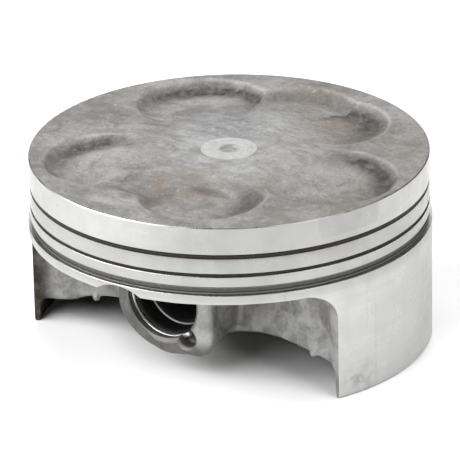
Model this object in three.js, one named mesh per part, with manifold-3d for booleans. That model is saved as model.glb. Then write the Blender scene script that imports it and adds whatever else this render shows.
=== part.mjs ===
// Four-stroke motorcycle piston, 95 mm bore class, five valve pockets, slipper skirt.
// Millimetres. Origin: centre of the plane that the two skirts stand on.
// +Z is the cylinder axis towards the crown, Y is the wrist pin axis, X is the thrust axis.
import * as THREE from 'three';
import { mergeVertices } from 'three/addons/utils/BufferGeometryUtils.js';
import Module from 'manifold-3d';

const wasm = await Module();
wasm.setup();

// ---- Driving dimensions ---------------------------------------------------------------------
const ROUND = 72;                   // segments of a full turn on the large diameters
const PIN_ROUND = 48;               // segments of a full turn on the wrist pin and its bore

const height = 45.8;                // skirt foot to crown
const skirtRadius = 47.47;          // 95 mm cylinder less the running clearance
const skirtWall = 2.3;
const skirtFootWall = 1.3;          // each skirt thins towards its foot
const skirtTaperHeight = 12;
const skirtHalfWidth = 20.85;       // half the width of each skirt, along the pin axis
const windowFillet = 7.4;           // corner radius where a skirt's side edge meets the ring belt
const landRadius = 46.84;
const lowerLandRadius = 47.2;       // land under the oil ring
const crownChamfer = 0.31;
const beltHeight = 18.66;           // crown to the lower edge of the ring belt
const beltInnerRadius = 40.6;
const crownThickness = 7.2;
const grooveRootRadius = 42.9;

// Ring grooves: depth of the upper flank below the crown, and width.
const topGroove = { below: 6.58, width: 1.10 };
const secondGroove = { below: 11.26, width: 0.84 };
const oilGroove = { below: 14.53, width: 1.97 };

const ringSideGap = 0.05;
const ringOuterRadius = 46.6;
const ringInnerRadius = 43.4;
const railOuterRadius = 46.5;
const railInnerRadius = 43.6;
const railThickness = 0.42;
const expanderOuterRadius = 46.1;
const expanderInnerRadius = 43.3;
const ringEndGap = 0.35;
const railEndGap = 0.5;

const pinHeight = height - 27.35;   // skirt foot to the wrist pin axis
const pinBoreRadius = 9.5;
const pinRadius = 9.45;
const pinHalfLength = 26.1;
const pinMouthRadius = 8.9;         // lightened ends
const pinMouthDepth = 4.4;
const pinWaistRadius = 5.6;
const pinTaperLength = 9;
const edgeBreak = 0.3;

const bossFace = 29.6;              // outer face of each boss, from the centre plane
const bossInnerFace = 13;
const bossHalfWidth = 12.3;
const bossBottomRadius = 12.65;
const bossLobe = { x: 8.6, drop: 7.9, radius: 4.9, inner: 19 };   // stock round the pick notch
const bossDraft = 1.2;              // each side of the boss widens this much towards the crown
const beltNotchRadius = 10.5;       // clearance in the ring belt for fitting the pin

const clipStation = 27.0;           // circlip centre, from the centre plane
const clipWireRadius = 0.68;
const clipCentreRadius = 10.0;
const clipGrooveRadius = 10.75;
const clipGrooveWidth = 1.6;
const clipFirstEnd = -55;           // degrees about the pin axis, seen from outside the boss
const clipOpening = 56;             // degrees
const pickNotchRadius = 2.35;       // notch for lifting the circlip out
const pickNotchCentre = 10.6;
const pickNotchAngle = -49.4;
const pickNotchDepth = 3.6;

const strutWall = 2.8;
const strutNearBoss = { x: 11, y: 16.6 };
const strutAtSkirt = { x: 44.5, y: 20.2 };
// Lower edge of the struts: distance from the centre along X, height above the skirt foot.
const thrustStrutEdge = [[8, 6.4], [11.7, 7.8], [14.6, 8.6], [19, 9.6], [25, 9.9], [31, 9.2],
  [36.5, 8.3], [39.5, 7.7], [41.4, 6.9], [46, 4.6]];
const antithrustStrutEdge = [[8, 8.2], [14, 9.1], [20.8, 9.4], [24, 9.2], [26.7, 8.8], [29.4, 8.1],
  [33, 6.6], [37, 5.9], [46, 4.6]];

const drainHoleRadius = 0.75;
const drainAngles = [45, 135, 225, 315];

// Valve pockets: direction in the crown plane, distance of the centre, radius.
// Three intake pockets lie on the thrust side and two exhaust pockets on the other.
// The last two cuts widen the intake pockets at the ends of the row.
const pockets = [
  { angle: -5, distance: 29, radius: 16.3 },
  { angle: 66, distance: 27.4, radius: 15.2 },
  { angle: -70, distance: 27, radius: 15.2 },
  { angle: 134.5, distance: 28.5, radius: 16.6 },
  { angle: -137, distance: 28.2, radius: 15.7 },
  { angle: -101, distance: 20.5, radius: 13.5 },
  { angle: 88, distance: 28, radius: 15 },
];
const pocketRunout = 15;            // radius at which a pocket floor reaches the crown plane
const pocketSlope = 0.11;

// ---- Solid helpers --------------------------------------------------------------------------
function toSolid(geometry) {
  const bare = geometry.index ? geometry.toNonIndexed() : geometry;
  bare.deleteAttribute('normal');
  bare.deleteAttribute('uv');
  const merged = mergeVertices(bare, 1e-4);
  const position = merged.attributes.position;
  const corner = new THREE.Vector3();
  const second = new THREE.Vector3();
  const third = new THREE.Vector3();
  const faces = [];
  let volume = 0;
  for (let i = 0; i < merged.index.count; i += 3) {
    const [a, b, c] = [0, 1, 2].map((k) => merged.index.getX(i + k));
    if (a === b || b === c || c === a) continue;
    faces.push([a, b, c]);
    corner.fromBufferAttribute(position, a);
    second.fromBufferAttribute(position, b);
    third.fromBufferAttribute(position, c);
    volume += corner.dot(second.cross(third));
  }
  const outward = volume > 0 ? faces : faces.map(([a, b, c]) => [a, c, b]);
  return new wasm.Manifold(new wasm.Mesh({
    numProp: 3,
    vertProperties: new Float32Array(position.array),
    triVerts: new Uint32Array(outward.flat()),
  }));
}

function toGeometry(solid) {
  const mesh = solid.getMesh();
  const geometry = new THREE.BufferGeometry();
  geometry.setAttribute('position', new THREE.BufferAttribute(mesh.vertProperties, 3));
  geometry.setIndex(new THREE.BufferAttribute(mesh.triVerts, 1));
  geometry.computeVertexNormals();
  return geometry;
}

function join(solids) {
  return solids.reduce((whole, piece) => whole.add(piece));
}

function cut(solid, tools) {
  return tools.reduce((rest, tool) => rest.subtract(tool), solid);
}

// A solid of revolution about Z from [radius, height] points.
function turned(points, segments = ROUND) {
  const profile = points.map(([radius, level]) => new THREE.Vector2(radius, level));
  return new THREE.LatheGeometry(profile, segments).rotateX(Math.PI / 2);
}

// The same, about Y through the wrist pin axis.
function turnedOnPin(points, segments = PIN_ROUND) {
  const profile = points.map(([radius, station]) => new THREE.Vector2(radius, station));
  return new THREE.LatheGeometry(profile, segments).translate(0, 0, pinHeight);
}

// An outline of [x, z] points, extruded along Y between two stations.
function extrudedAlongPin(outline, from, to) {
  const shape = new THREE.Shape(outline.map(([x, z]) => new THREE.Vector2(x, z)));
  const geometry = new THREE.ExtrudeGeometry(shape, { depth: to - from, bevelEnabled: false });
  return geometry.rotateX(Math.PI / 2).translate(0, to, 0);
}

// An outline of [x, y] points, extruded along Z between two levels.
function extrudedUp(outline, from, to) {
  const shape = new THREE.Shape(outline.map(([x, y]) => new THREE.Vector2(x, y)));
  const geometry = new THREE.ExtrudeGeometry(shape, { depth: to - from, bevelEnabled: false });
  return geometry.translate(0, 0, from);
}

function arc(centreX, centreY, radius, fromDegrees, toDegrees, steps) {
  return Array.from({ length: steps + 1 }, (_, i) => {
    const angle = THREE.MathUtils.degToRad(fromDegrees + (toDegrees - fromDegrees) * (i / steps));
    return [centreX + radius * Math.cos(angle), centreY + radius * Math.sin(angle)];
  });
}

// ---- Piston body ----------------------------------------------------------------------------
function grooveProfile(groove) {
  const upper = height - groove.below;
  const lower = upper - groove.width;
  return [[landRadius, lower], [grooveRootRadius, lower], [grooveRootRadius, upper],
    [landRadius, upper]];
}

function crownAndBelt() {
  const underside = height - crownThickness;
  const beltFoot = height - beltHeight;
  const oilFlank = height - oilGroove.below - oilGroove.width;
  return toSolid(turned([
    [0, underside], [33, underside], [37.6, underside - 1.2], [40, underside - 4.4],
    [beltInnerRadius, underside - 8], [beltInnerRadius, beltFoot], [lowerLandRadius, beltFoot],
    [lowerLandRadius, oilFlank], ...grooveProfile(oilGroove).slice(1),
    ...grooveProfile(secondGroove), ...grooveProfile(topGroove),
    [landRadius, height - crownChamfer], [landRadius - crownChamfer, height], [0, height],
  ]));
}

// The window beside a skirt is cut radially, so the outline narrows towards the axis.
function skirtMask(outline, reach) {
  const geometry = extrudedAlongPin(outline, 10, reach).rotateZ(-Math.PI / 2);
  const position = geometry.attributes.position;
  const edgeX = Math.sqrt(skirtRadius ** 2 - skirtHalfWidth ** 2);
  for (let i = 0; i < position.count; i += 1) {
    position.setY(i, position.getY(i) * (position.getX(i) / edgeX));
  }
  return toSolid(geometry);
}

function skirts() {
  const beltFoot = height - beltHeight;
  const top = height - oilGroove.below - oilGroove.width - 0.1;
  const inner = skirtRadius - skirtWall;
  const profile = [[skirtRadius - skirtFootWall, 0], [skirtRadius - 0.4, 0], [skirtRadius, 0.6],
    [skirtRadius, top - 0.3], [lowerLandRadius - 0.1, top], [inner, top],
    [inner, skirtTaperHeight]];
  const wall = toSolid(turned([...profile, profile[0]]));
  const corner = skirtHalfWidth + windowFillet;
  const right = arc(corner, beltFoot - windowFillet, windowFillet, 180, 90, 8);
  const left = arc(-corner, beltFoot - windowFillet, windowFillet, 90, 0, 8);
  const mask = skirtMask([[-skirtHalfWidth, -1], [skirtHalfWidth, -1], ...right,
    [corner, top + 1], [-corner, top + 1], ...left], 60);
  return wall.intersect(join([mask, mask.rotate([0, 0, 180])]));
}

function boss(side) {
  const top = height - crownThickness + 1;
  const outline = [...arc(0, pinHeight, bossBottomRadius, 194, 346, 22),
    [bossHalfWidth + bossDraft, top], [-bossHalfWidth - bossDraft, top]];
  const shoulder = [[bossLobe.radius, top], [-bossLobe.radius, top]];
  const foot = arc(0, pinHeight - bossLobe.drop, bossLobe.radius, 180, 360, 14);
  const lobe = [...foot, ...shoulder].map(([x, z]) => [x - side * bossLobe.x, z]);
  const between = (inner) => [side * inner, side * bossFace].sort((a, b) => a - b);
  return join([
    toSolid(extrudedAlongPin(outline, ...between(bossInnerFace))),
    toSolid(extrudedAlongPin(lobe, ...between(bossLobe.inner))),
  ]);
}

// The two struts of one skirt; direction is 1 on the thrust side and -1 on the other.
function struts(direction, lowerEdge) {
  const top = height - crownThickness + 1;
  const edge = new THREE.SplineCurve(lowerEdge.map(([x, z]) => new THREE.Vector2(x, z)));
  const lower = edge.getPoints(18).map((point) => [point.x, point.y]);
  const arch = toSolid(extrudedAlongPin([[8, -1], ...lower, [46, -1]], -40, 40));
  const plates = [];
  for (const side of [-1, 1]) {
    const outline = [[strutNearBoss.x, side * strutNearBoss.y],
      [strutAtSkirt.x, side * strutAtSkirt.y],
      [strutAtSkirt.x, side * (strutAtSkirt.y - strutWall)],
      [strutNearBoss.x, side * (strutNearBoss.y - strutWall)]];
    plates.push(toSolid(extrudedUp(outline, 0, top)).subtract(arch));
  }
  const beltFoot = height - beltHeight;
  const envelope = toSolid(turned([[0, 0], [skirtRadius - 0.8, 0], [skirtRadius - 0.8, beltFoot],
    [beltInnerRadius + 0.8, beltFoot], [beltInnerRadius + 0.8, top], [0, top]]));
  return join(plates).intersect(envelope).rotate([0, 0, direction > 0 ? 0 : 180]);
}

function pinBoreTools() {
  const reach = bossFace + 1;
  const tools = [toSolid(turnedOnPin([[0, -reach], [pinBoreRadius, -reach],
    [pinBoreRadius, reach], [0, reach]]))];
  for (const side of [-1, 1]) {
    const clipFrom = side * (clipStation - clipGrooveWidth / 2);
    const clipTo = side * (clipStation + clipGrooveWidth / 2);
    tools.push(toSolid(turnedOnPin([[0, clipFrom], [clipGrooveRadius, clipFrom],
      [clipGrooveRadius, clipTo], [0, clipTo]])));
    tools.push(toSolid(turnedOnPin([[0, side * (bossFace - edgeBreak)],
      [pinBoreRadius, side * (bossFace - edgeBreak)], [pinBoreRadius + 2 * edgeBreak,
        side * (bossFace + edgeBreak)], [0, side * (bossFace + edgeBreak)]])));
    tools.push(toSolid(turnedOnPin([[0, side * (bossFace + 0.2)],
      [beltNotchRadius, side * (bossFace + 0.2)], [beltNotchRadius, side * 60],
      [0, side * 60]])));
    const angle = THREE.MathUtils.degToRad(pickNotchAngle);
    const notch = new THREE.CylinderGeometry(pickNotchRadius, pickNotchRadius,
      pickNotchDepth + 1, 16);
    notch.translate(-side * pickNotchCentre * Math.cos(angle),
      side * (bossFace + 0.5 - pickNotchDepth / 2),
      pinHeight + pickNotchCentre * Math.sin(angle));
    tools.push(toSolid(notch));
  }
  return tools;
}

function drainHoles() {
  const level = height - oilGroove.below - oilGroove.width / 2;
  return drainAngles.map((angle) => {
    const hole = new THREE.CylinderGeometry(drainHoleRadius, drainHoleRadius, 8, 10);
    hole.rotateZ(Math.PI / 2).translate(beltInnerRadius + 0.5, 0, level);
    return toSolid(hole.rotateZ(THREE.MathUtils.degToRad(angle)));
  });
}

function pocketTools() {
  return pockets.map(({ angle, distance, radius }) => {
    const tool = new THREE.CylinderGeometry(radius, radius, 12, 48).rotateX(Math.PI / 2);
    tool.translate(0, 0, 6).rotateY(Math.atan(pocketSlope));
    tool.translate(distance, 0, height - (distance - pocketRunout) * pocketSlope);
    return toSolid(tool.rotateZ(THREE.MathUtils.degToRad(angle)));
  });
}

function pistonBody() {
  const blank = join([crownAndBelt(), skirts(), boss(-1), boss(1),
    struts(1, thrustStrutEdge), struts(-1, antithrustStrutEdge)]);
  return toGeometry(cut(blank, [...pinBoreTools(), ...drainHoles(), ...pocketTools()]));
}

// ---- Rings ----------------------------------------------------------------------------------
// A split ring: its gap is centred on gapAngle and measured at the outer radius.
function splitRing(inner, outer, from, to, gap, gapAngle) {
  const half = THREE.MathUtils.radToDeg(gap / 2 / outer);
  const first = gapAngle + half;
  const last = gapAngle + 360 - half;
  const outline = [...arc(0, 0, outer, first, last, ROUND),
    ...arc(0, 0, inner, last, first, ROUND)];
  return extrudedUp(outline, from, to);
}

function compressionRing(groove, gapAngle) {
  const upper = height - groove.below;
  return splitRing(ringInnerRadius, ringOuterRadius, upper - groove.width + ringSideGap,
    upper - ringSideGap, ringEndGap, gapAngle);
}

const oilTop = height - oilGroove.below - ringSideGap;
const oilFoot = height - oilGroove.below - oilGroove.width + ringSideGap;

function oilRail(from, gapAngle) {
  return splitRing(railInnerRadius, railOuterRadius, from, from + railThickness, railEndGap,
    gapAngle);
}

function oilExpander() {
  return splitRing(expanderInnerRadius, expanderOuterRadius, oilFoot + railThickness + ringSideGap,
    oilTop - railThickness - ringSideGap, railEndGap, 120);
}

// ---- Wrist pin and circlips -----------------------------------------------------------------
function wristPin() {
  const end = pinHalfLength;
  const step = end - pinMouthDepth;
  const waist = step - pinTaperLength;
  const half = [[pinWaistRadius, waist], [pinMouthRadius - 1.2, step], [pinMouthRadius, step],
    [pinMouthRadius, end - edgeBreak], [pinMouthRadius + edgeBreak, end],
    [pinRadius - edgeBreak, end], [pinRadius, end - edgeBreak]];
  const mirrored = half.map(([radius, station]) => [radius, -station]).reverse();
  return toGeometry(toSolid(turnedOnPin([...half, ...mirrored, half[0]])));
}

function circlip(side) {
  const first = THREE.MathUtils.degToRad(clipFirstEnd);
  const sweep = THREE.MathUtils.degToRad(360 - clipOpening);
  const steps = 40;
  const points = Array.from({ length: steps + 1 }, (_, i) => {
    const angle = first - sweep * (i / steps);
    return new THREE.Vector3(-side * clipCentreRadius * Math.cos(angle), side * clipStation,
      pinHeight + clipCentreRadius * Math.sin(angle));
  });
  const path = new THREE.CatmullRomCurve3(points);
  const section = new THREE.Shape(arc(0, 0, clipWireRadius, 0, 315, 7)
    .map(([x, y]) => new THREE.Vector2(x, y)));
  return new THREE.ExtrudeGeometry(section, { steps, extrudePath: path, bevelEnabled: false });
}

// ---- Materials and assembly -----------------------------------------------------------------
function metal(color, roughness) {
  return new THREE.MeshStandardMaterial({ color, roughness, metalness: 0.9 });
}

const forgedAluminium = metal(0xbfc0bd, 0.45);
const phosphatedSteel = metal(0x35302b, 0.6);
const railSteel = metal(0x6f6d69, 0.45);
const coatedPin = metal(0x26262a, 0.35);
const springWire = metal(0xd6d6d4, 0.2);

const piston = new THREE.Group();

function addPart(name, geometry, material) {
  const mesh = new THREE.Mesh(geometry, material);
  mesh.name = name;
  piston.add(mesh);
}

addPart('piston_body', pistonBody(), forgedAluminium);
addPart('top_compression_ring', compressionRing(topGroove, 45), phosphatedSteel);
addPart('second_compression_ring', compressionRing(secondGroove, 165), phosphatedSteel);
addPart('oil_ring_upper_rail', oilRail(oilTop - railThickness, 75), railSteel);
addPart('oil_ring_expander', oilExpander(), railSteel);
addPart('oil_ring_lower_rail', oilRail(oilFoot, 195), railSteel);
addPart('wrist_pin', wristPin(), coatedPin);
addPart('circlip_front', circlip(-1), springWire);
addPart('circlip_rear', circlip(1), springWire);

export default piston;
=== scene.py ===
import math

import bpy
import numpy as np
import openvdb
from mathutils import Matrix, Vector


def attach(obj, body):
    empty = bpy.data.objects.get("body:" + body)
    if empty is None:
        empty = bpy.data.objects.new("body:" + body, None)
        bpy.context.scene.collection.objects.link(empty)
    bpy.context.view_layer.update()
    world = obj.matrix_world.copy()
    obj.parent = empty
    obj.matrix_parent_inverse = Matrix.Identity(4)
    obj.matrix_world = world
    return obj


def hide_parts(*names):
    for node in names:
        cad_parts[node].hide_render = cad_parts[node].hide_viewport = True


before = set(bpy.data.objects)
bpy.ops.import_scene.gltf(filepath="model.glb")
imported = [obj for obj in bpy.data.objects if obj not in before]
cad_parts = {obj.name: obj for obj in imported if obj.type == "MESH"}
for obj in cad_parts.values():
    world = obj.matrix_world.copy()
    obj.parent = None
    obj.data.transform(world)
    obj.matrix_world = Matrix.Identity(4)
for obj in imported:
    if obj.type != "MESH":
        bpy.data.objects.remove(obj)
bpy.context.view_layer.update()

# ---- Dimensions of the piston, in millimetres ------------------------------------------------
MM = 0.001
HEIGHT = 45.8
LAND_RADIUS = 46.84
SKIRT_RADIUS = 47.47
SKIRT_OVALITY = 0.27  # the skirts and lower land are this much smaller along the pin
SKIRT_INNER = 45.17
SKIRT_FOOT_INNER = 46.17
SKIRT_TAPER_HEIGHT = 12.0
SKIRT_HALF_WIDTH = 20.85
WINDOW_FILLET = 7.4
BELT_FOOT = HEIGHT - 18.66
BELT_INNER = 40.6
UNDERSIDE = HEIGHT - 7.2
GROOVE_ROOT = 42.9
GROOVES = [(6.58, 1.10), (11.26, 0.84), (14.53, 1.97)]  # upper flank below the crown, width

PIN_HEIGHT = HEIGHT - 27.35
BORE_RADIUS = 9.5
BOSS_FACE = 29.6
BOSS_INNER_FACE = 13.0
BOSS_HALF_WIDTH = 12.3
BOSS_BOTTOM_RADIUS = 12.65
BOSS_DRAFT = 1.2
LOBE_X, LOBE_DROP, LOBE_RADIUS = 8.6, 7.9, 4.9  # stock round the circlip's pick notch
LOBE_START = 2.5  # its flat underside runs from here to LOBE_X
LOBE_DRAFT_X, LOBE_DRAFT_DROP = 1.2, 3.4  # how far it draws in towards the inner face
BELT_NOTCH_RADIUS = 10.5
CLIP_STATION = 27.0
CLIP_WIRE = 0.68
CLIP_CENTRE_RADIUS = 10.0
CLIP_GROOVE_RADIUS = 10.75
CLIP_GROOVE_WIDTH = 1.6
CLIP_FIRST_END = -55
CLIP_OPENING = 56
PICK_NOTCH_RADIUS = 2.35
PICK_NOTCH_CENTRE = 10.6
PICK_NOTCH_ANGLE = -49.4
PICK_NOTCH_FLOOR = 26.2
PIN_HALF_LENGTH = 26.1
PIN_RADIUS = 9.45
PIN_MOUTH_RADIUS = 8.9
PIN_MOUTH_DEPTH = 4.4
PIN_BARE_EDGE = 0.28  # chamfer round the step in the mouth
PIN_WAIST_RADIUS = 5.6
PIN_TAPER = 9.0

RING_SIDE_GAP = 0.05
RING_SPAN = (43.4, 46.6)  # inner and outer radius
RING_END_GAP = 0.35
RAIL_SPAN = (43.6, 46.5)
RAIL_THICKNESS = 0.42
RAIL_END_GAP = 0.5
EXPANDER_SPAN = (43.5, 46.3)
EXPANDER_HALF_HEIGHT = 0.44
EXPANDER_WAVES, EXPANDER_RIPPLE = 192, 0.06

STRUT_NEAR_BOSS = (11.0, 16.6)
STRUT_AT_SKIRT = (44.5, 20.2)
STRUT_WALL = 2.8
# Lower edge of the struts: distance from the centre, height above the foot; thrust side, other side.
THRUST_EDGE = [(0, 5.6), (8, 6.4), (11.7, 7.8), (14.6, 8.6), (19, 9.6), (25, 9.9), (31, 9.2), (36.5, 8.3),
               (39.5, 7.7), (41.4, 6.9), (50, 3.5)]
ANTITHRUST_EDGE = [(0, 7.6), (8, 8.2), (14, 9.1), (20.8, 9.4), (24, 9.2), (26.7, 8.8), (29.4, 8.1),
                   (33, 6.6), (37, 5.9), (50, 4.4)]
NIBS = [(34.6, -19.0, 9.0), (-26.4, -18.1, 8.7)]  # flash left by the forging die
NIB_RADIUS = 0.9
DRAIN_RADIUS = 0.75
DRAIN_SPAN = (37.0, 44.0)  # from inside the belt to inside the oil groove
DRAIN_DIRECTIONS = (45, 135, 225, 315)

# Valve pockets: direction in the crown plane, distance of the centre, radius, width of the wall, darkening
# (soot and painted shade). The last two widen the intake pockets at the ends of the row.
POCKETS = [(-5, 29.0, 16.3, 4.6, 1.0), (66, 27.4, 15.2, 6.5, 1.0), (-70, 27.0, 15.2, 5.0, 1.1),
           (134.5, 28.5, 16.6, 4.6, 1.0), (-137, 28.2, 15.7, 4.6, 1.1), (-101, 20.5, 13.5, 4.4, 1.6),
           (88, 28.0, 15.0, 4.0, 0.4)]
POCKET_RUNOUT = 15.0
POCKET_SLOPE = 0.11

# Marks on the crown: x, y, and the distances within which the mark is full and beyond which it ends.
BROWN_PATCHES = [(15, 24, 5, 17), (1, -23, 4, 15), (18, -12, 1, 9), (-2, 40, 1, 12)]
BARE_PATCHES = [(-9, -38, 1.5, 6), (-3, -39, 1.5, 5)]
WIPED_PATCH = [(3, 2, 10, 30)]
BLUED_PATCH = [(-7, 12, 2, 13)]
# Streaks of baked oil and painted shade along the walls of the front pocket.
OIL_AND_SHADE_STREAKS = [(-8.0, -32.0, 9.5, 2.6), (8.5, -22.5, 7.0, 2.8)]  # x, y, half length, half width
DISC_RADIUS = 6.55  # faced disc at the centre

# Marks, painted shade and darker places on the turned and forged faces.
# Centre of the painted shade on the belt's front right.
PAINTED_SHADE_CORNER = (38, -38, HEIGHT - 6)
LAND_STAIN = (44.5, -17, 44.5)
FOOT_STAIN = (45, -15, 3.5)
SCRATCH_Y = -10.5
# Places painted darker: the crease where the boss meets the strut, and a spot on the strut.
DARK_CREASE = (13.8, -18.5, 0)
DARK_STRUT_SPOT = (19, -18, 19)

ROUND = 512  # segments of a full turn


# ---- Mesh helpers ----------------------------------------------------------------------------
def new_object(name, points, faces, material):
    mesh = bpy.data.meshes.new(name)
    mesh.from_pydata((np.asarray(points, float) * MM).tolist(), [], faces)
    mesh.materials.append(material)
    mesh.update()
    made = bpy.data.objects.new(name, mesh)
    bpy.context.scene.collection.objects.link(made)
    return made


def facing_out(points, faces):
    """The faces, all turned round if they enclose a negative volume."""
    p = np.asarray(points, float)
    volume = 0.0
    for face in faces:
        for k in range(1, len(face) - 1):
            volume += np.dot(p[face[0]], np.cross(p[face[k]], p[face[k + 1]]))
    return faces if volume > 0 else [face[::-1] for face in faces]


def grid_faces(rows, columns, closed_rows):
    """Quads between rows of a points grid whose columns run round a closed section."""
    faces = []
    for i in range(rows if closed_rows else rows - 1):
        for j in range(columns):
            a = i * columns + j
            b = i * columns + (j + 1) % columns
            below = (i + 1) % rows * columns
            faces.append((a, b, below + (j + 1) % columns, below + j))
    return faces


def lathe(profile, segments=ROUND):
    """A closed solid turned about Z from (radius, height) points; it may start and end on the axis."""
    on_axis = profile[0][0] == 0
    rim = profile[1:-1] if on_axis else profile
    angles = np.arange(segments) * (2 * math.pi / segments)
    points = [(r * math.cos(a), r * math.sin(a), z) for a in angles for r, z in rim]
    n = len(rim)
    faces = []
    for i in range(segments):
        here, there = i * n, (i + 1) % segments * n
        for j in range(n if not on_axis else n - 1):
            k = (j + 1) % n
            faces.append((here + j, there + j, there + k, here + k))
    if on_axis:
        points += [(0, 0, profile[0][1]), (0, 0, profile[-1][1])]
        first, last = len(points) - 2, len(points) - 1
        for i in range(segments):
            here, there = i * n, (i + 1) % segments * n
            faces.append((first, there, here))
            faces.append((here + n - 1, there + n - 1, last))
    return points, facing_out(points, faces)


def about_pin(points):
    """Points turned about Z, laid along the wrist pin axis: station along +Y."""
    return [(x, z, PIN_HEIGHT - y) for x, y, z in points]


def combine(target, operation, tools):
    """Joins or cuts target by the tools, in order, and returns the result as a plain mesh object."""
    for tool in tools:
        modifier = target.modifiers.new(tool.name, "BOOLEAN")
        modifier.operation = operation
        modifier.solver = "MANIFOLD"
        modifier.material_mode = "TRANSFER"
        modifier.object = tool
    evaluated = target.evaluated_get(bpy.context.evaluated_depsgraph_get())
    mesh = bpy.data.meshes.new_from_object(evaluated)
    target.modifiers.clear()
    target.data = mesh
    for tool in tools:
        bpy.data.objects.remove(tool)
    return target


def shade(made, sharp_angle=35):
    made.data.polygons.foreach_set("use_smooth", [True] * len(made.data.polygons))
    made.data.set_sharp_from_angle(angle=math.radians(sharp_angle))
    made.data.update()


# ---- Materials -------------------------------------------------------------------------------
class Graph:
    """Shorthand for one material's node tree, with positions in millimetres."""

    def __init__(self, name, roughness, metallic):
        self.material = bpy.data.materials.new(name)
        self.material.use_nodes = True
        self.tree = self.material.node_tree
        self.shader = self.tree.nodes["Principled BSDF"]
        self.shader.inputs["Roughness"].default_value = roughness
        self.shader.inputs["Metallic"].default_value = metallic
        coordinates = self.add("ShaderNodeTexCoord")
        self.place = self.vector("SCALE", coordinates.outputs["Object"], scale=1 / MM)
        split = self.add("ShaderNodeSeparateXYZ", {0: self.place})
        self.x, self.y, self.z = split.outputs

    def add(self, kind, inputs=None, **settings):
        node = self.tree.nodes.new(kind)
        for key, value in settings.items():
            setattr(node, key, value)
        for key, value in (inputs or {}).items():
            self.feed(node.inputs[key], value)
        return node

    def feed(self, socket, value):
        if isinstance(value, bpy.types.NodeSocket):
            self.tree.links.new(value, socket)
        else:
            socket.default_value = value

    def math(self, operation, a, b=0.0):
        return self.add("ShaderNodeMath", {0: a, 1: b}, operation=operation).outputs[0]

    def vector(self, operation, a, b=(0, 0, 0), scale=1.0):
        node = self.add("ShaderNodeVectorMath", {0: a, 1: b, 3: scale}, operation=operation)
        return node.outputs["Value" if operation in ("LENGTH", "DISTANCE") else "Vector"]

    def noise(self, scale, detail=3.0, roughness=0.55, distortion=0.0, stretch=(1, 1, 1), shift=0.0):
        place = self.vector("MULTIPLY", self.place, stretch)
        if shift:
            place = self.vector("ADD", place, (shift, shift * 0.7, shift * 1.3))
        inputs = {"Vector": place, "Scale": scale, "Detail": detail, "Roughness": roughness,
                  "Distortion": distortion}
        return self.add("ShaderNodeTexNoise", inputs).outputs["Fac"]

    def remap(self, value, low, high, to_low=0.0, to_high=1.0):
        inputs = {"Value": value, "From Min": low, "From Max": high, "To Min": to_low, "To Max": to_high}
        return self.add("ShaderNodeMapRange", inputs, interpolation_type="SMOOTHSTEP").outputs[0]

    def near(self, centre, inner, outer):
        """1 within inner millimetres of the centre, 0 beyond outer."""
        return self.remap(self.vector("DISTANCE", self.place, centre), inner, outer, 1.0, 0.0)

    def spots(self, places):
        """The strongest of the masks round some (x, y, inner, outer) places on the crown."""
        strongest = 0.0
        for x, y, inner, outer in places:
            strongest = self.math("MAXIMUM", strongest, self.near((x, y, HEIGHT), inner, outer))
        return strongest

    def attribute(self, name):
        return self.add("ShaderNodeAttribute", attribute_name=name).outputs["Fac"]

    def mix(self, factor, a, b):
        node = self.add("ShaderNodeMix", {0: factor}, data_type="RGBA")
        for socket, value in ((node.inputs[6], a), (node.inputs[7], b)):
            self.feed(socket, value if isinstance(value, bpy.types.NodeSocket) else (*value, 1.0))
        return node.outputs[2]

    def cover(self, base, color, *factors):
        """The base colour covered with another one, as far as the product of the factors."""
        amount = factors[0]
        for factor in factors[1:]:
            amount = self.math("MULTIPLY", amount, factor)
        return self.mix(amount, base, color)

    def bump(self, height, distance, strength=1.0, below=None):
        inputs = {"Height": height, "Distance": distance * MM, "Strength": strength}
        if below is not None:
            inputs["Normal"] = below
        return self.add("ShaderNodeBump", inputs).outputs[0]

    def finish(self, color, roughness=None, normal=None):
        self.feed(self.shader.inputs["Base Color"], color)
        if roughness is not None:
            self.feed(self.shader.inputs["Roughness"], roughness)
        if normal is not None:
            self.feed(self.shader.inputs["Normal"], normal)
        return self.material


def crown_metal(g, streaks):
    """The blasted metal of the crown: three greys, dirt and specks."""
    broad = g.remap(g.noise(0.06, 5, 0.6, 0.8), 0.36, 0.64)
    base = g.mix(broad, (0.18, 0.178, 0.173), (0.31, 0.308, 0.302))
    base = g.cover(base, (0.37, 0.368, 0.36), g.remap(streaks, 0.44, 0.64, 0, 0.55))
    darkening = g.noise(0.14, 7, 0.75, 1.0, shift=4.0)
    base = g.cover(base, (0.12, 0.113, 0.104), g.remap(darkening, 0.47, 0.6, 0, 0.5))
    specks = g.noise(1.3, 4, 0.75, shift=51.0)
    return g.cover(base, (0.1, 0.093, 0.087), g.remap(specks, 0.54, 0.68, 0, 0.6))


def oil_and_shade_streaks(g):
    """Mask of the long streaks of baked oil and painted shade on the front pocket's walls."""
    strongest = 0.0
    for x, y, length, width in OIL_AND_SHADE_STREAKS:
        offset = g.vector("SUBTRACT", g.place, (x, y, 0))
        scaled = g.vector("MULTIPLY", offset, (1 / length, 1 / width, 0))
        streak = g.remap(g.vector("LENGTH", scaled), 0.25, 1.0, 1, 0)
        strongest = g.math("MAXIMUM", strongest, streak)
    return strongest


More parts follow.
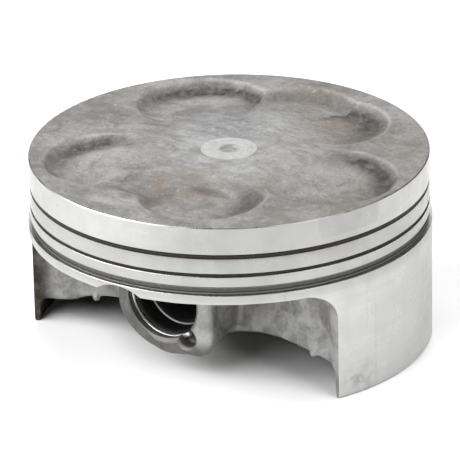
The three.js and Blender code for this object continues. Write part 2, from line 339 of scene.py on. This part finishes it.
def crown_stains(g, base, streaks, grain, radius):
    """Brown and blued patches, tarnish towards the rim, baked oil with painted shade, metal wiped bare."""
    mottle = g.remap(g.noise(0.11, 4, 0.6, 0.8, shift=31.0), 0.4, 0.58, 0.35, 1.0)
    base = g.cover(base, (0.183, 0.15, 0.124), g.spots(BROWN_PATCHES), mottle, 0.85)
    wiped = g.remap(streaks, 0.35, 0.6, 0.2, 0.55)
    base = g.cover(base, (0.4, 0.402, 0.4), g.spots(WIPED_PATCH), wiped)
    tarnish = g.math("MAXIMUM", g.remap(g.x, 4, 38, 0, 0.46), g.remap(radius, 33, 44, 0, 0.22))
    base = g.cover(base, (0.165, 0.148, 0.13), tarnish)
    # Baked oil and painted shade in streaks along the front pocket's walls.
    base = g.cover(base, (0.085, 0.068, 0.055), oil_and_shade_streaks(g), 0.72)
    base = g.cover(base, (0.15, 0.155, 0.168), g.spots(BLUED_PATCH), g.remap(grain, 0.4, 0.6, 0.2, 0.7))
    bare = g.remap(streaks, 0.35, 0.6, 0.2, 0.6)
    return g.cover(base, (0.4, 0.398, 0.39), g.spots(BARE_PATCHES), bare)


def crown_material():
    """Blasted forged aluminium, stained by combustion, with a faced disc at the centre."""
    g = Graph("stained_crown", 0.6, 0.5)
    radius = g.vector("LENGTH", g.vector("MULTIPLY", g.place, (1, 1, 0)))
    streaks = g.noise(0.4, 6, 0.7, 0.8, stretch=(0.4, 1, 1), shift=9.0)
    grain = g.noise(0.9, 6, 0.8, 0.6, shift=83.0)
    base = crown_stains(g, crown_metal(g, streaks), streaks, grain, radius)
    cloud = g.noise(0.045, 4, 0.6, 1.2, shift=73.0)
    base = g.cover(base, (0.125, 0.115, 0.105), g.remap(cloud, 0.42, 0.6, 0, 0.2))
    base = g.cover(base, (0.48, 0.477, 0.465), g.remap(grain, 0.45, 0.3, 0, 0.6))
    base = g.cover(base, (0.08, 0.074, 0.068), g.remap(grain, 0.54, 0.68, 0, 0.6))
    patchy = g.remap(g.noise(0.5, 5, 0.7, 0.5, shift=23.0), 0.3, 0.62, 0.55, 1.0)
    # Soot and painted shade on the pocket walls, broken up by noise.
    base = g.cover(base, (0.036, 0.033, 0.03), g.attribute("soot_and_shade"), patchy)
    # Painted highlight along the pocket lips, broken up by noise.
    broken = g.remap(g.noise(0.1, 4, 0.6, shift=61.0), 0.38, 0.62, 0.1, 0.45)
    base = g.cover(base, (0.45, 0.447, 0.437), g.attribute("lip_highlight"), broken)
    disc = g.remap(radius, DISC_RADIUS - 0.1, DISC_RADIUS + 0.1, 1, 0)
    centre = g.remap(radius, 1.6, 3.1, 1, 0)
    smudge = g.remap(g.noise(0.5, 3), 0.3, 0.6)
    faced = g.cover((0.42, 0.418, 0.407), (0.2, 0.195, 0.185), centre, smudge)
    color = g.mix(disc, base, faced)
    grit = g.bump(g.noise(1.3, 6, 0.75), 0.35, 0.8)
    dents = g.bump(g.noise(0.25, 4, 0.55, 0.6, shift=17.0), 1.1, 0.6, below=grit)
    uneven = g.remap(g.noise(0.3, 3), 0.3, 0.7, 0.5, 0.72)
    rough = g.math("SUBTRACT", uneven, g.math("MULTIPLY", disc, 0.2))
    return g.finish(color, rough, dents)


def machined_material():
    """Turned aluminium of the lands and skirts."""
    g = Graph("machined_aluminium", 0.32, 1.0)
    base = g.mix(g.noise(0.09, 4, 0.6, 0.5), (0.45, 0.448, 0.441), (0.53, 0.528, 0.52))
    lines = g.noise(1.0, 1, 0.5, stretch=(0.04, 0.04, 1.7))
    base = g.cover(base, (0.4, 0.398, 0.39), g.remap(lines, 0.35, 0.65, 0.0, 0.16))
    smear = g.noise(0.12, 5, 0.6, 0.6, stretch=(1, 1, 0.5), shift=14.0)
    base = g.cover(base, (0.42, 0.417, 0.4), g.remap(smear, 0.52, 0.6, 0, 0.22))
    scuffs = g.noise(0.4, 3, 0.5, 0.3, stretch=(1, 1, 0.12), shift=27.0)
    base = g.cover(base, (0.3, 0.297, 0.285), g.remap(scuffs, 0.56, 0.8, 0, 0.25))
    belt = g.remap(g.z, BELT_FOOT - 1.0, BELT_FOOT + 1.5, 0, 0.55)
    top_land = g.remap(g.z, HEIGHT - 8.0, HEIGHT - 6.0, 0, 0.4)
    base = g.cover(base, (0.32, 0.318, 0.31), g.math("SUBTRACT", belt, top_land))
    # Painted shade on the belt's front right, over the lands between the top land and the oil groove.
    high = g.remap(g.z, BELT_FOOT + 4.0, HEIGHT - 8.0)
    base = g.cover(base, (0.36, 0.357, 0.35), g.near(PAINTED_SHADE_CORNER, 20, 42), high, 0.8)
    on_land = g.remap(g.z, 40.5, 41.0)
    base = g.cover(base, (0.25, 0.248, 0.242), g.near(LAND_STAIN, 8.5, 9.0), on_land, 0.26)
    broken = g.remap(g.noise(0.3, 5, 0.65, 0.4), 0.4, 0.6)
    base = g.cover(base, (0.25, 0.247, 0.235), g.near(FOOT_STAIN, 1.0, 7.0), broken, 0.55)
    scratch = g.remap(g.math("ABSOLUTE", g.math("SUBTRACT", g.y, SCRATCH_Y)), 0.1, 0.4, 1, 0)
    on_skirt = g.remap(g.z, 20.0, 24.0, 1, 0)
    thrust_side = g.remap(g.x, 0, 1)
    base = g.cover(base, (0.25, 0.247, 0.24), scratch, on_skirt, thrust_side, 0.13)
    rough = g.remap(g.noise(0.2, 3, 0.6, shift=5.0), 0.3, 0.7, 0.26, 0.42)
    return g.finish(base, rough, g.bump(lines, 0.012, 0.5))


def boss_faces(g, base):
    """The outer faces of the bosses: a painted highlight beside the pick notch, darker elsewhere and low
    down.
    """
    face = g.remap(g.math("ABSOLUTE", g.y), BOSS_FACE - 1.9, BOSS_FACE - 0.6)
    towards_notch = g.math("MULTIPLY", g.math("MULTIPLY", g.x, g.y), -1 / BOSS_FACE)
    low = g.remap(g.z, PIN_HEIGHT - 7.5, PIN_HEIGHT - 11.0)
    darker_part = g.math("MAXIMUM", g.remap(towards_notch, 7.0, 9.5, 1, 0), low)
    # Painted highlight: a light band on the face beside the pick notch.
    base = g.cover(base, (0.46, 0.458, 0.447), g.math("SUBTRACT", 1.0, darker_part), face, 0.36)
    # The rest of the face, and its lower part, painted darker.
    return g.cover(base, (0.085, 0.084, 0.08), darker_part, face, 0.72)


def forged_material():
    """As-forged, tumbled aluminium under the belt: blotched, with a few drawn streaks, baked oil and
    painted shade.
    """
    g = Graph("forged_aluminium", 0.5, 0.85)
    blotches = g.remap(g.noise(0.17, 5, 0.65, 0.6), 0.35, 0.65)
    base = g.mix(blotches, (0.215, 0.213, 0.206), (0.4, 0.398, 0.388))
    streaks = g.noise(0.7, 5, 0.65, 0.4, stretch=(1.0, 1.0, 0.22), shift=13.0)
    base = g.cover(base, (0.46, 0.458, 0.45), g.remap(streaks, 0.5, 0.7, 0, 0.55))
    stain = g.noise(0.12, 5, 0.65, 0.6, shift=41.0)
    base = g.cover(base, (0.12, 0.108, 0.095), g.remap(stain, 0.5, 0.66, 0, 0.5))
    base = boss_faces(g, base)
    # Darker along the crease where the boss side meets the strut, and on a spot of the strut.
    corner = g.vector("DISTANCE", g.vector("MULTIPLY", g.place, (1, 1, 0)), DARK_CREASE)
    strut = g.math("MULTIPLY", g.near(DARK_STRUT_SPOT, 2, 6), 0.5)
    crease_darkening = g.math("MAXIMUM", g.remap(corner, 0.3, 2.4, 0.6, 0), strut)
    base = g.cover(base, (0.085, 0.07, 0.058), crease_darkening, g.remap(stain, 0.35, 0.55, 0.5, 1.0))
    base = g.cover(base, (0.12, 0.115, 0.108), g.remap(g.x, -8.0, -20.0, 0, 0.25))
    # Baked oil and painted shade over the left skirt's forged faces.
    oil_and_shade_mottle = g.remap(g.noise(0.4, 4, shift=19.0), 0.3, 0.6, 0.75, 1.0)
    base = g.cover(base, (0.036, 0.029, 0.023), g.remap(g.x, -36.0, -41.5), oil_and_shade_mottle)
    fine = g.bump(g.noise(1.6, 6, 0.75), 0.25, 0.7)
    broad = g.bump(g.noise(0.3, 3, 0.5, 0.3, shift=3.0), 0.8, 0.35, below=fine)
    return g.finish(base, g.remap(g.noise(0.5, 3), 0.3, 0.7, 0.4, 0.6), broad)


def bore_material():
    """Honed aluminium of the pin bores, with old oil in the pick notches."""
    g = Graph("honed_bore", 0.5, 0.6)
    base = g.mix(g.noise(0.5, 3), (0.2, 0.195, 0.18), (0.3, 0.295, 0.28))
    angle = math.radians(PICK_NOTCH_ANGLE)
    notch_x = PICK_NOTCH_CENTRE * math.cos(angle)
    notch_z = PIN_HEIGHT + PICK_NOTCH_CENTRE * math.sin(angle)
    front = g.near((notch_x, -28, notch_z), 2.6, 3.4)
    rear = g.near((-notch_x, 28, notch_z), 2.6, 3.4)
    base = g.cover(base, (0.06, 0.057, 0.052), g.math("MAXIMUM", front, rear), 0.45)
    lines = g.noise(1.0, 2, 0.5, stretch=(0.1, 6.0, 0.1))
    return g.finish(base, g.remap(lines, 0.3, 0.7, 0.45, 0.6), g.bump(lines, 0.02, 0.5))


def steel_material(name, dark, light, roughness, metallic=0.9, grain=0.02):
    """Steel between a dark and a light grey, faintly lined along its length."""
    g = Graph(name, roughness, metallic)
    base = g.mix(g.noise(0.6, 4, 0.6, 0.3), dark, light)
    lines = g.noise(1.2, 3, 0.5, stretch=(0.2, 0.2, 5.0))
    rough = g.remap(g.noise(0.9, 3, shift=7.0), 0.3, 0.7, roughness - 0.08, roughness + 0.08)
    return g.finish(base, rough, g.bump(lines, grain, 0.5))


# ---- Piston body -----------------------------------------------------------------------------
VOXEL = 0.4
BLANK_RADIUS, BLANK_FOOT = 48.4, -1.2  # the forged blank, before the lathe
FIELD_LIMIT = 2.0  # distances beyond this are all the same to the mesher


def smooth_min(a, b, blend):
    h = np.maximum(blend - np.abs(a - b), 0) / blend
    return np.minimum(a, b) - h * h * (blend / 4)


def smooth_max(a, b, blend):
    return -smooth_min(-a, -b, blend)


def round_corner(p, q, radius):
    """Signed distance to the quadrant p < 0, q < 0 with its corner rounded."""
    p, q = p + radius, q + radius
    return np.hypot(np.maximum(p, 0), np.maximum(q, 0)) + np.minimum(np.maximum(p, q), 0) - radius


def smooth_noise(x, y, z, scale, seed):
    """A sum of sine waves of about that wavelength, between -1 and 1."""
    rng = np.random.default_rng(seed)
    total = 0
    waves = 10
    for _ in range(waves):
        direction = rng.normal(size=3)
        direction *= 2 * math.pi / scale * rng.uniform(0.6, 1.4) / np.linalg.norm(direction)
        phase = rng.uniform(0, 2 * math.pi)
        total = total + np.sin(direction[0] * x + direction[1] * y + direction[2] * z + phase)
    return total / waves * 1.6


def underside_half(x, y, z):
    """Signed distance to the forging below its crown, for y above zero."""
    r = np.hypot(x, y)
    side = np.abs(x)
    cavity = round_corner(r - BELT_INNER, z - UNDERSIDE, 7.0)
    belt = np.maximum(-cavity, BELT_FOOT - z)
    edge = y * (SKIRT_RADIUS / r) - SKIRT_HALF_WIDTH  # radial cut, measured at the outer surface
    window = round_corner(-edge, z - BELT_FOOT, WINDOW_FILLET)
    taper = np.clip(1 - z / SKIRT_TAPER_HEIGHT, 0, 1)
    inner = SKIRT_INNER + (SKIRT_FOOT_INNER - SKIRT_INNER) * taper
    skirt = np.maximum(inner - r, -window)
    solid = np.minimum(belt, skirt)
    filleted = smooth_min(belt, np.maximum(skirt, edge), 5.0)
    solid = np.minimum(solid, np.maximum(filleted, r - SKIRT_INNER - 1.0))

    rise = np.clip((z - PIN_HEIGHT) / (UNDERSIDE - PIN_HEIGHT), 0, 1)
    lower_half = np.where(z < PIN_HEIGHT, np.hypot(x, z - PIN_HEIGHT) - BOSS_BOTTOM_RADIUS, -50.0)
    section = np.maximum(side - BOSS_HALF_WIDTH - BOSS_DRAFT * rise, lower_half)
    boss = smooth_max(section, np.maximum(BOSS_INNER_FACE - y, y - BOSS_FACE), 1.0)

    along = np.array(STRUT_AT_SKIRT) - np.array(STRUT_NEAR_BOSS)
    along /= np.linalg.norm(along)
    out = (side - STRUT_NEAR_BOSS[0]) * -along[1] + (y - STRUT_NEAR_BOSS[1]) * along[0]
    low = np.where(x > 0, np.interp(side, *zip(*THRUST_EDGE)), np.interp(side, *zip(*ANTITHRUST_EDGE)))
    strut = smooth_max(np.maximum(out, -out - STRUT_WALL), (low - z) * 0.97, 1.2)
    strut = np.maximum(strut, 6.0 - side)

    ribs = smooth_min(boss, strut, 2.6)
    solid = smooth_min(solid, np.maximum(ribs, r - inner - 0.6), 1.6)
    return solid + 0.05 * smooth_noise(x, y, z, 7.0, 3)


def crown_shape(x, y):
    """Depth of the crown below its plane, soot and painted shade below the pocket walls, painted lip
    highlights.
    """
    depth = np.zeros(np.broadcast(x, y).shape)
    soot_and_shade = np.zeros_like(depth)
    lip_highlight = np.zeros_like(depth)
    for angle, distance, radius, width, darkening in POCKETS:
        cx, cy = math.cos(math.radians(angle)), math.sin(math.radians(angle))
        outward = x * cx + y * cy
        inside = radius - np.hypot(x - distance * cx, y - distance * cy)
        across = inside / width
        floor = np.maximum(outward - POCKET_RUNOUT, 0) * POCKET_SLOPE
        pocket = floor * (1 - (1 - np.clip(across, 0, 1)) ** 2.1)
        deep = np.clip(floor - 0.4, 0, 1)
        deepest = pocket > depth
        # Soot and painted shade on the pocket walls, heavier on the walls at the rear of each pocket.
        band = np.clip(across / 0.45, 0, 1) ** 1.5 * np.clip((1.7 - across) / 0.8, 0, 1)
        rearward = (y - distance * cy) / np.maximum(radius - inside, 0.1)
        band = band * darkening * np.clip(0.7 + 0.6 * rearward, 0.15, 1)
        soot_and_shade = np.where(deepest, np.minimum(band * deep, 1), soot_and_shade)
        # A painted highlight along the lip of each pocket.
        lip = np.exp(-((inside - 0.25) / 0.35) ** 2) * deep
        lip_highlight = np.where(deepest | (inside < 0), np.maximum(lip_highlight * ~deepest, lip), lip_highlight)
        lip_highlight = np.where((depth > pocket) & (inside > 0), lip_highlight * (1 - lip), lip_highlight)
        depth = np.maximum(depth, pocket)
    return depth, soot_and_shade, lip_highlight


def forging():
    """The forged blank with stock left outside every machined face, as a closed mesh."""
    half = np.arange(VOXEL / 2, BLANK_RADIUS + 1.0, VOXEL)
    levels = np.arange(BLANK_FOOT - 0.8, HEIGHT + 1.8, VOXEL)
    full = np.concatenate([-half[::-1], half])
    z = levels[None, None, :]
    rear = underside_half(full[:, None, None], half[None, :, None], z)
    field = np.concatenate([rear[:, ::-1], rear], axis=1)

    fx, fy = full[:, None], full[None, :]
    x, y = fx[:, :, None], fy[:, :, None]
    for side in (-1, 1):
        inward = (BOSS_FACE - side * y) / (BOSS_FACE - BOSS_INNER_FACE)
        lobe_x = LOBE_X - LOBE_DRAFT_X * inward
        drop = LOBE_DROP - LOBE_DRAFT_DROP * inward
        beside = np.maximum(-side * x - lobe_x, 0) + np.minimum(-side * x - LOBE_START, 0)
        lobe = np.hypot(beside, np.minimum(z - PIN_HEIGHT + drop, 0)) - LOBE_RADIUS
        ends = np.maximum(BOSS_INNER_FACE - side * y, side * y - BOSS_FACE)
        lobe = smooth_max(smooth_max(lobe, ends, 1.6), z - UNDERSIDE - 1, 1.0)
        field = smooth_min(field, lobe, 2.0)
    for nx, ny, nz in NIBS:
        nib = np.sqrt((x - nx) ** 2 + (y - ny) ** 2 + (z - nz) ** 2) - NIB_RADIUS
        field = smooth_min(field, nib, 0.6)

    depth = crown_shape(fx, fy)[0] + 0.03 * smooth_noise(fx, fy, 0.0, 9.0, 5)
    slope = np.hypot(*np.gradient(depth, VOXEL))
    crown = (z - (HEIGHT - depth)[:, :, None]) / np.sqrt(1 + slope * slope)[:, :, None]
    blank = np.maximum(np.hypot(x, y) - BLANK_RADIUS, BLANK_FOOT - z)
    field = np.maximum(np.maximum(field, crown), blank)

    grid = openvdb.FloatGrid(FIELD_LIMIT)
    grid.copyFromArray(np.clip(field, -FIELD_LIMIT, FIELD_LIMIT).astype(np.float32))
    points, _, quads = grid.convertToPolygons(0.0, 0.0)
    start = np.array([full[0], full[0], levels[0]])
    return points * VOXEL + start, quads.tolist()


def turned_envelope():
    """What the lathe leaves: the lands, the three grooves, the skirts and the crown's chamfer."""
    bevel = 0.09
    chamfer = 0.22
    run = 1.6  # the chamfer's slope goes on above the crown, where there is no metal
    profile = [(0, 0), (SKIRT_RADIUS - 0.35, 0), (SKIRT_RADIUS, 0.45)]
    for below, width in reversed(GROOVES):
        upper = HEIGHT - below
        lower = upper - width
        top_bevel = (0.13, 0.75) if (below, width) == GROOVES[0] else (bevel, bevel)
        land = SKIRT_RADIUS if (below, width) == GROOVES[2] else LAND_RADIUS
        profile += [(land, lower - top_bevel[1]), (land - top_bevel[0], lower),
                    (GROOVE_ROOT + 0.2, lower), (GROOVE_ROOT, lower + 0.2), (GROOVE_ROOT, upper - 0.2),
                    (GROOVE_ROOT + 0.2, upper), (LAND_RADIUS - bevel, upper), (LAND_RADIUS, upper + bevel)]
    top = HEIGHT - chamfer + run
    profile += [(LAND_RADIUS, HEIGHT - chamfer), (LAND_RADIUS - run, top), (0, top)]
    points, faces = lathe(profile)
    oval = []
    for x, y, z in points:
        r = math.hypot(x, y)
        shrink = 1 - SKIRT_OVALITY * (y / r) ** 2 / r if r > LAND_RADIUS + 0.1 else 1
        oval.append((x * shrink, y * shrink, z))
    return oval, faces


def bore_tools(material):
    """Cutters for the pin bore and, at each end, its circlip groove, lip, belt notch and pick notch."""
    tools = []

    def tool(name, points, faces):
        tools.append(new_object(name, points, facing_out(points, faces), material))

    reach = BOSS_FACE + 2
    points, faces = lathe([(0, -reach), (BORE_RADIUS, -reach), (BORE_RADIUS, reach), (0, reach)], 256)
    tool("bore", about_pin(points), faces)
    for side in (-1, 1):
        half = CLIP_GROOVE_WIDTH / 2
        clip = [(0, -half), (CLIP_GROOVE_RADIUS - 0.25, -half), (CLIP_GROOVE_RADIUS, -half + 0.25),
                (CLIP_GROOVE_RADIUS, half - 0.25), (CLIP_GROOVE_RADIUS - 0.25, half), (0, half)]
        points, faces = lathe(clip, 256)
        tool("clip_groove", about_pin([(x, y, z + side * CLIP_STATION) for x, y, z in points]), faces)
        lip = [(0, -0.35), (BORE_RADIUS - 0.05, -0.35), (BORE_RADIUS + 0.9, 0.6), (0, 0.6)]
        points, faces = lathe(lip, 256)
        tool("bore_lip", about_pin([(x, y, side * (z + BOSS_FACE)) for x, y, z in points]), faces)
        notch = [(0, 0), (BELT_NOTCH_RADIUS, 0), (BELT_NOTCH_RADIUS, 20), (0, 20)]
        points, faces = lathe(notch, 256)
        tool("belt_notch", about_pin([(x, y, side * (z + BOSS_FACE + 0.4)) for x, y, z in points]), faces)
        angle = math.radians(PICK_NOTCH_ANGLE)
        centre_x = -side * PICK_NOTCH_CENTRE * math.cos(angle)
        centre_z = PICK_NOTCH_CENTRE * math.sin(angle)
        pick = [(0, PICK_NOTCH_FLOOR), (PICK_NOTCH_RADIUS - 0.5, PICK_NOTCH_FLOOR),
                (PICK_NOTCH_RADIUS, PICK_NOTCH_FLOOR + 0.5), (PICK_NOTCH_RADIUS, BOSS_FACE - 0.2),
                (PICK_NOTCH_RADIUS + 0.8, BOSS_FACE + 0.6), (0, BOSS_FACE + 0.6)]
        points, faces = lathe(pick, 64)
        placed = [(x + centre_x, side * z, PIN_HEIGHT + centre_z + y) for x, y, z in points]
        tool("pick_notch", placed, faces)
    return tools


def drain_tools(material):
    """Cutters for the oil drain holes, from the oil groove to the inside of the belt."""
    below, width = GROOVES[2]
    start, end = DRAIN_SPAN
    points, faces = lathe([(0, start), (DRAIN_RADIUS, start), (DRAIN_RADIUS, end), (0, end)], 24)
    tools = []
    for angle in DRAIN_DIRECTIONS:
        turn = Matrix.Rotation(math.radians(angle), 3, "Z")
        placed = [turn @ Vector((z, x, y)) for x, y, z in points]
        placed = [(p.x, p.y, p.z + HEIGHT - below - width / 2) for p in placed]
        tools.append(new_object("drain_hole", placed, facing_out(placed, faces), material))
    return tools


def assign_crown(mesh, slot_index):
    """Gives the faces of the crown their own material, and the vertices soot with painted shade and
    painted lip highlights.
    """
    count = len(mesh.polygons)
    centres = np.empty(count * 3)
    normals = np.empty(count * 3)
    slots = np.empty(count, np.int32)
    mesh.polygons.foreach_get("center", centres)
    mesh.polygons.foreach_get("normal", normals)
    mesh.polygons.foreach_get("material_index", slots)
    is_crown = (centres[2::3] > (HEIGHT - 3.5) * MM) & (normals[2::3] > 0.05) & (slots == 0)
    slots[is_crown] = slot_index
    mesh.polygons.foreach_set("material_index", slots)
    places = np.empty(len(mesh.vertices) * 3)
    mesh.vertices.foreach_get("co", places)
    _, soot_and_shade, lip_highlight = crown_shape(places[0::3] / MM, places[1::3] / MM)
    for name, values in (("soot_and_shade", soot_and_shade), ("lip_highlight", lip_highlight)):
        mesh.attributes.new(name, "FLOAT", "POINT").data.foreach_set("value", values)


def piston_body():
    machined, bore = machined_material(), bore_material()
    points, quads = forging()
    body = new_object("piston_forging", points, quads, forged_material())
    envelope = new_object("envelope", *turned_envelope(), machined)
    combine(body, "INTERSECT", [envelope])
    tools = bore_tools(bore) + drain_tools(bore)
    combine(body, "DIFFERENCE", [combine(tools[0], "UNION", tools[1:])])
    body.data.materials.append(crown_material())
    assign_crown(body.data, len(body.data.materials) - 1)
    shade(body)
    return body


# ---- Rings, pin and circlips -----------------------------------------------------------------
def split_ring(name, section, gap, gap_angle, material, steps=ROUND, waves=0, ripple=0.0):
    """A ring swept from a (radius, height) section, open by gap at gap_angle; ripple dents its face."""
    outer = max(r for r, _ in section)
    half = gap / 2 / outer
    start = math.radians(gap_angle) + half
    sweep = 2 * math.pi - 2 * half
    points = []
    for i in range(steps + 1):
        a = start + sweep * i / steps
        dent = ripple * (0.5 - 0.5 * math.cos(waves * sweep * i / steps))
        points += [((r - dent) * math.cos(a), (r - dent) * math.sin(a), z) for r, z in section]
    n = len(section)
    faces = grid_faces(steps + 1, n, False)
    faces += [tuple(range(n)), tuple(range(steps * n, (steps + 1) * n))[::-1]]
    ring = new_object(name, points, facing_out(points, faces), material)
    shade(ring)
    return ring


def ring_section(span, lower, upper, bevel, barrel):
    """Section of a ring between two radii, bevelled all round, with a barrelled running face."""
    inner, outer = span
    middle = (lower + upper) / 2
    return [(inner, lower + bevel), (inner + bevel, lower), (outer - bevel, lower),
            (outer - barrel, lower + bevel), (outer, middle), (outer - barrel, upper - bevel),
            (outer - bevel, upper), (inner + bevel, upper), (inner, upper - bevel)]


def wrist_pin(material, bare):
    """The hollow pin, with a step in each lightened end whose chamfer is bare metal."""
    end, mouth, radius = PIN_HALF_LENGTH, PIN_MOUTH_RADIUS, PIN_RADIUS
    step = end - PIN_MOUTH_DEPTH
    half = [(PIN_WAIST_RADIUS, step - PIN_TAPER), (mouth - 1.3, step - 0.3), (mouth - 1.1, step),
            (mouth - PIN_BARE_EDGE, step), (mouth, step + PIN_BARE_EDGE), (mouth, end - 0.4),
            (mouth + 0.1, end - 0.15), (mouth + 0.25, end), (radius - 0.25, end),
            (radius - 0.08, end - 0.1), (radius, end - 0.35)]
    profile = half + [(r, -s) for r, s in reversed(half)]
    points, faces = lathe(profile, 192)
    points = about_pin(points)
    pin = new_object("wrist_pin_tube", points, facing_out(points, faces), material)
    pin.data.materials.append(bare)
    for face in pin.data.polygons:
        station = abs(face.center.y) / MM
        reach = math.hypot(face.center.x, face.center.z - PIN_HEIGHT * MM) / MM
        if step < station < step + PIN_BARE_EDGE and mouth - PIN_BARE_EDGE < reach < mouth:
            face.material_index = 1
    shade(pin, 25)
    return pin


def circlip(name, side, material):
    """A round wire clip with rounded ends, open at the pick notch."""
    sides, steps, cap = 16, 120, 4
    first, sweep = math.radians(CLIP_FIRST_END), math.radians(360 - CLIP_OPENING)
    stations = []  # along the wire: angle, wire radius there, distance beyond the end
    for k in range(1, cap + 1):
        turn = math.pi / 2 * k / (cap + 1)
        stations.append((first, CLIP_WIRE * math.sin(turn), -CLIP_WIRE * math.cos(turn)))
    stations += [(first - sweep * i / steps, CLIP_WIRE, 0.0) for i in range(steps + 1)]
    for k in range(cap, 0, -1):
        turn = math.pi / 2 * k / (cap + 1)
        stations.append((first - sweep, CLIP_WIRE * math.sin(turn), CLIP_WIRE * math.cos(turn)))
    points = []
    for angle, wire, beyond in stations:
        along = Vector((-side * math.sin(angle), 0, -math.cos(angle)))
        out = Vector((-side * math.cos(angle), 0, math.sin(angle)))
        centre = out * CLIP_CENTRE_RADIUS + along * beyond + Vector((0, side * CLIP_STATION, PIN_HEIGHT))
        for j in range(sides):
            a = 2 * math.pi * j / sides
            points.append(tuple(centre + out * (wire * math.cos(a)) + Vector((0, wire * math.sin(a), 0))))
    rows = len(stations)
    faces = grid_faces(rows, sides, False)
    faces += [tuple(range(sides))[::-1], tuple(range((rows - 1) * sides, rows * sides))]
    clip = new_object(name, points, facing_out(points, faces), material)
    shade(clip, 60)
    return clip


# ---- The pieces on their bodies --------------------------------------------------------------
def fit(piece, body, node):
    """Lets the piece move with its body and stand in for its CAD node."""
    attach(piece, body)
    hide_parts(node)


phosphated = steel_material("phosphated_steel", (0.012, 0.009, 0.007), (0.032, 0.026, 0.021), 0.6, 0.5)
rail_steel = steel_material("rail_steel", (0.165, 0.163, 0.158), (0.225, 0.223, 0.217), 0.6)
expander_steel = steel_material("expander_steel", (0.1, 0.098, 0.094), (0.15, 0.147, 0.141), 0.65)
coated = steel_material("coated_pin", (0.01, 0.011, 0.01), (0.022, 0.021, 0.02), 0.6, 0.4, 0.01)
spring = steel_material("spring_wire", (0.75, 0.75, 0.74), (0.85, 0.85, 0.84), 0.43, 1.0, 0.005)

fit(piston_body(), "piston", "piston_body")

for name, node, groove, gap_angle in (
    ("top_ring", "top_compression_ring", 0, 45),
    ("second_ring", "second_compression_ring", 1, 165),
):
    below, width = GROOVES[groove]
    lower, upper = HEIGHT - below - width + RING_SIDE_GAP, HEIGHT - below - RING_SIDE_GAP
    section = ring_section(RING_SPAN, lower, upper, 0.08, 0.03)
    band = split_ring(name + "_band", section, RING_END_GAP, gap_angle, phosphated)
    fit(band, name, node)

below, width = GROOVES[2]
lower, upper = HEIGHT - below - width + RING_SIDE_GAP, HEIGHT - below - RING_SIDE_GAP
for name, foot, gap_angle in (
    ("lower_rail", lower, 195),
    ("upper_rail", upper - RAIL_THICKNESS, 75),
):
    section = ring_section(RAIL_SPAN, foot, foot + RAIL_THICKNESS, 0.07, 0.04)
    band = split_ring(name + "_band", section, RAIL_END_GAP, gap_angle, rail_steel)
    fit(band, name, "oil_ring_" + name)

middle = (lower + upper) / 2
lower, upper = middle - EXPANDER_HALF_HEIGHT, middle + EXPANDER_HALF_HEIGHT
section = ring_section(EXPANDER_SPAN, lower, upper, 0.1, 0.05)
expander = split_ring("expander_spring", section, RAIL_END_GAP, 120, expander_steel, 3 * ROUND,
                      EXPANDER_WAVES, EXPANDER_RIPPLE)
fit(expander, "expander", "oil_ring_expander")

fit(wrist_pin(coated, spring), "pin", "wrist_pin")
fit(circlip("circlip_front_wire", -1, spring), "piston", "circlip_front")
fit(circlip("circlip_rear_wire", 1, spring), "piston", "circlip_rear")

# ---- Camera, floor and light -----------------------------------------------------------------
AZIMUTH, ELEVATION, ROLL = math.radians(33.5), math.radians(23.574), math.radians(1.2405)
DISTANCE = 1.1491
LENS = 382.78
AIM_RIGHT, AIM_HEIGHT = -0.0001475, 0.02502
back = Vector((math.sin(AZIMUTH) * math.cos(ELEVATION), -math.cos(AZIMUTH) * math.cos(ELEVATION),
               math.sin(ELEVATION)))
right = Vector((math.cos(AZIMUTH), math.sin(AZIMUTH), 0))
up = back.cross(right)
target = right * AIM_RIGHT + Vector((0, 0, AIM_HEIGHT))
camera_data = bpy.data.cameras.new("camera")
camera_data.lens = LENS
camera_data.sensor_width = 36
camera_data.clip_start, camera_data.clip_end = 0.05, 60
camera = bpy.data.objects.new("camera", camera_data)
bpy.context.scene.collection.objects.link(camera)
camera_x = right * math.cos(ROLL) - up * math.sin(ROLL)
camera_y = right * math.sin(ROLL) + up * math.cos(ROLL)
turn = Matrix((camera_x, camera_y, back)).transposed().to_4x4()
camera.matrix_world = Matrix.Translation(target + back * DISTANCE) @ turn
bpy.context.scene.camera = camera

floor_graph = Graph("pale_floor", 0.6, 0.0)
floor_color = floor_graph.mix(floor_graph.noise(0.02, 2), (0.9, 0.9, 0.9), (0.92, 0.92, 0.92))
FLOOR_REACH = 9000.0
corners = [(x * FLOOR_REACH, y * FLOOR_REACH, 0) for x, y in ((-1, -1), (1, -1), (1, 1), (-1, 1))]
floor = new_object("floor", corners, [(0, 1, 2, 3)], floor_graph.finish(floor_color))

world = bpy.data.worlds.new("studio")
world.use_nodes = True
background = world.node_tree.nodes["Background"]
background.inputs["Color"].default_value = (1, 1, 1, 1)
background.inputs["Strength"].default_value = 0.03
bpy.context.scene.world = world

# Soft boxes in a ring round the piston: degrees to the right of the camera, degrees up, watts.
SOFT_BOXES = {
    "key": (-45, 40, 9.3),
    "front_right": (45, 40, 6.6),
    "left": (-90, 40, 8.9),
    "left_low": (-90, 15, 1.0),
    "right_low": (90, 15, 0.8),
    "right_high": (120, 65, 4.4),
    "rear": (180, 40, 3.5),
    "rear_high": (180, 65, 2.0),
}
BOX_DISTANCE, BOX_WIDTH = 1.1, 0.6
for name, (turned, raised, power) in SOFT_BOXES.items():
    bearing, raised = AZIMUTH + math.radians(turned), math.radians(raised)
    level = math.cos(raised)
    outward = Vector((math.sin(bearing) * level, -math.cos(bearing) * level, math.sin(raised)))
    box_data = bpy.data.lights.new(name, "AREA")
    box_data.shape = "SQUARE"
    box_data.size = BOX_WIDTH
    box_data.energy = power
    box = bpy.data.objects.new(name, box_data)
    bpy.context.scene.collection.objects.link(box)
    box.location = outward * BOX_DISTANCE
    box.rotation_mode = "QUATERNION"
    box.rotation_quaternion = (-outward).to_track_quat("-Z", "Y")

bpy.context.scene.view_settings.view_transform = "Standard"
bpy.context.scene.view_settings.look = "None"
